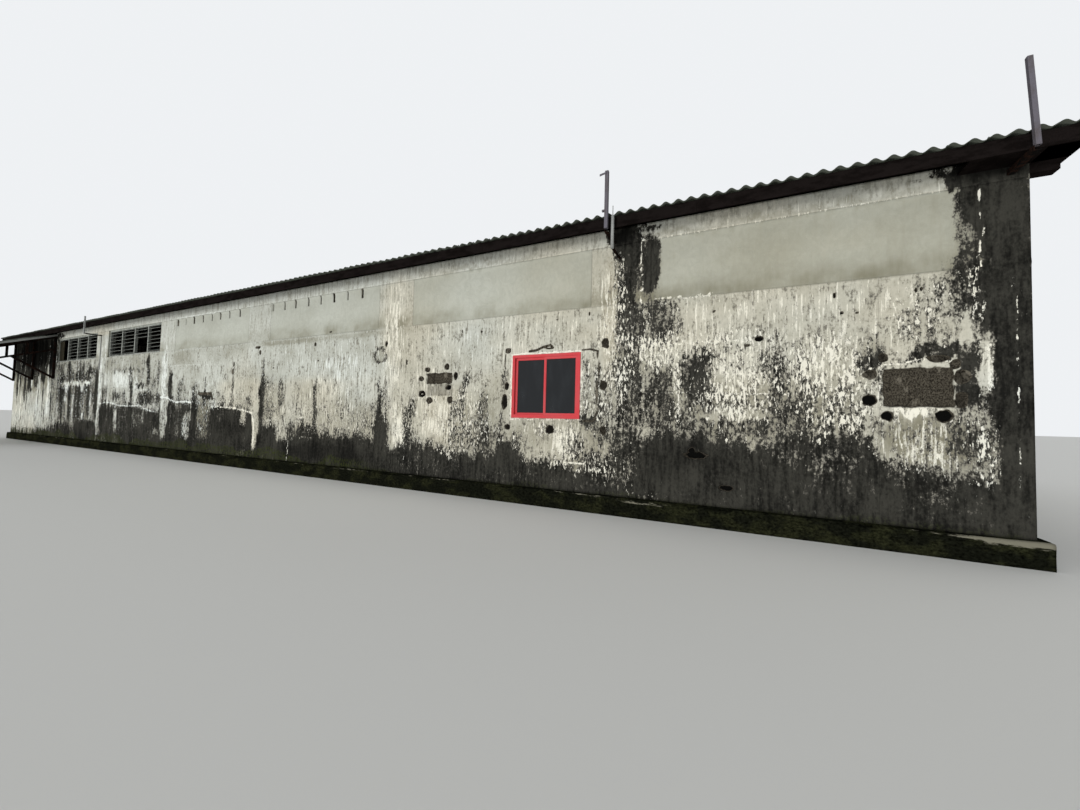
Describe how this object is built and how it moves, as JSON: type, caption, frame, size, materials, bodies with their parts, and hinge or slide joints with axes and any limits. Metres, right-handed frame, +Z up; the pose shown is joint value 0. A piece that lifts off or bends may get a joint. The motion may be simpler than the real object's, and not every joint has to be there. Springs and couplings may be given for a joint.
{
  "type": "single-storey factory hall with corrugated roof",
  "caption": "Long weathered rendered-masonry factory hall with a corrugated gable roof, walled-up and louvred high windows, a red sliding window and a lean-to canopy.",
  "frame": {"origin": "middle of the wall plan at ground level, on the underside of the floor slab", "axes": "+Z up, +X along the long front wall to its right end seen from outside, front wall facing -Y"},
  "size_m": [35.246, 14.9365, 6.5842],
  "materials": {
    "weathered_render": "matt, mould-stained",
    "bare_concrete": "matt, damp and mossy",
    "infill_render": "matt",
    "fibre_cement": "matt, weathered",
    "roof_steel": "dull primer, rusted",
    "maroon_board": "faded paint",
    "red_frame": "gloss powder coat",
    "dark_glass": "dusty",
    "louvre_wood": "weathered grey paint",
    "post_steel": "rusted primer",
    "pale_steel": "dull galvanised",
    "door_steel": "faded paint"
  },
  "bodies": {
    "root": {"canopy_brackets": "roof_steel", "canopy_edge": "pale_steel", "canopy_purlins": "roof_steel", "canopy_sheets": "fibre_cement", "corner_beam_stub": "roof_steel", "door_frame": "door_steel", "door_leaves": "door_steel", "eave_posts": "post_steel", "fascia_boards": "maroon_board", "floor_slab": "bare_concrete", "front_infill_panels": "infill_render", "front_louvre_blades": "louvre_wood", "front_louvre_frames": "louvre_wood", "front_piers": "weathered_render", "front_plinth": "bare_concrete", "front_ring_beam": "weathered_render", "front_roof_sheets": "fibre_cement", "front_wall_bay_1": "weathered_render", "front_wall_bay_2": "weathered_render", "front_wall_bay_3": "weathered_render", "front_wall_bay_4": "weathered_render", "front_wall_bay_5": "weathered_render", "front_wall_bay_6": "weathered_render", "front_wall_bay_7": "weathered_render", "left_gable_wall": "weathered_render", "left_plinth": "bare_concrete", "left_sash": "red_frame", "pipe_stub": "pale_steel", "purlins": "roof_steel", "rafter_tails": "roof_steel", "rear_infill_panels": "infill_render", "rear_louvre_windows": "louvre_wood", "rear_piers": "weathered_render", "rear_plinth": "bare_concrete", "rear_ring_beam": "weathered_render", "rear_roof_sheets": "fibre_cement", "rear_wall": "weathered_render", "ridge_cap": "fibre_cement", "right_gable_wall": "weathered_render", "right_plinth": "bare_concrete", "right_sash": "red_frame", "roof_trusses": "roof_steel", "wall_arm_post": "pale_steel", "window_frame": "red_frame", "window_panes": "dark_glass"}
  },
  "joints": []
}
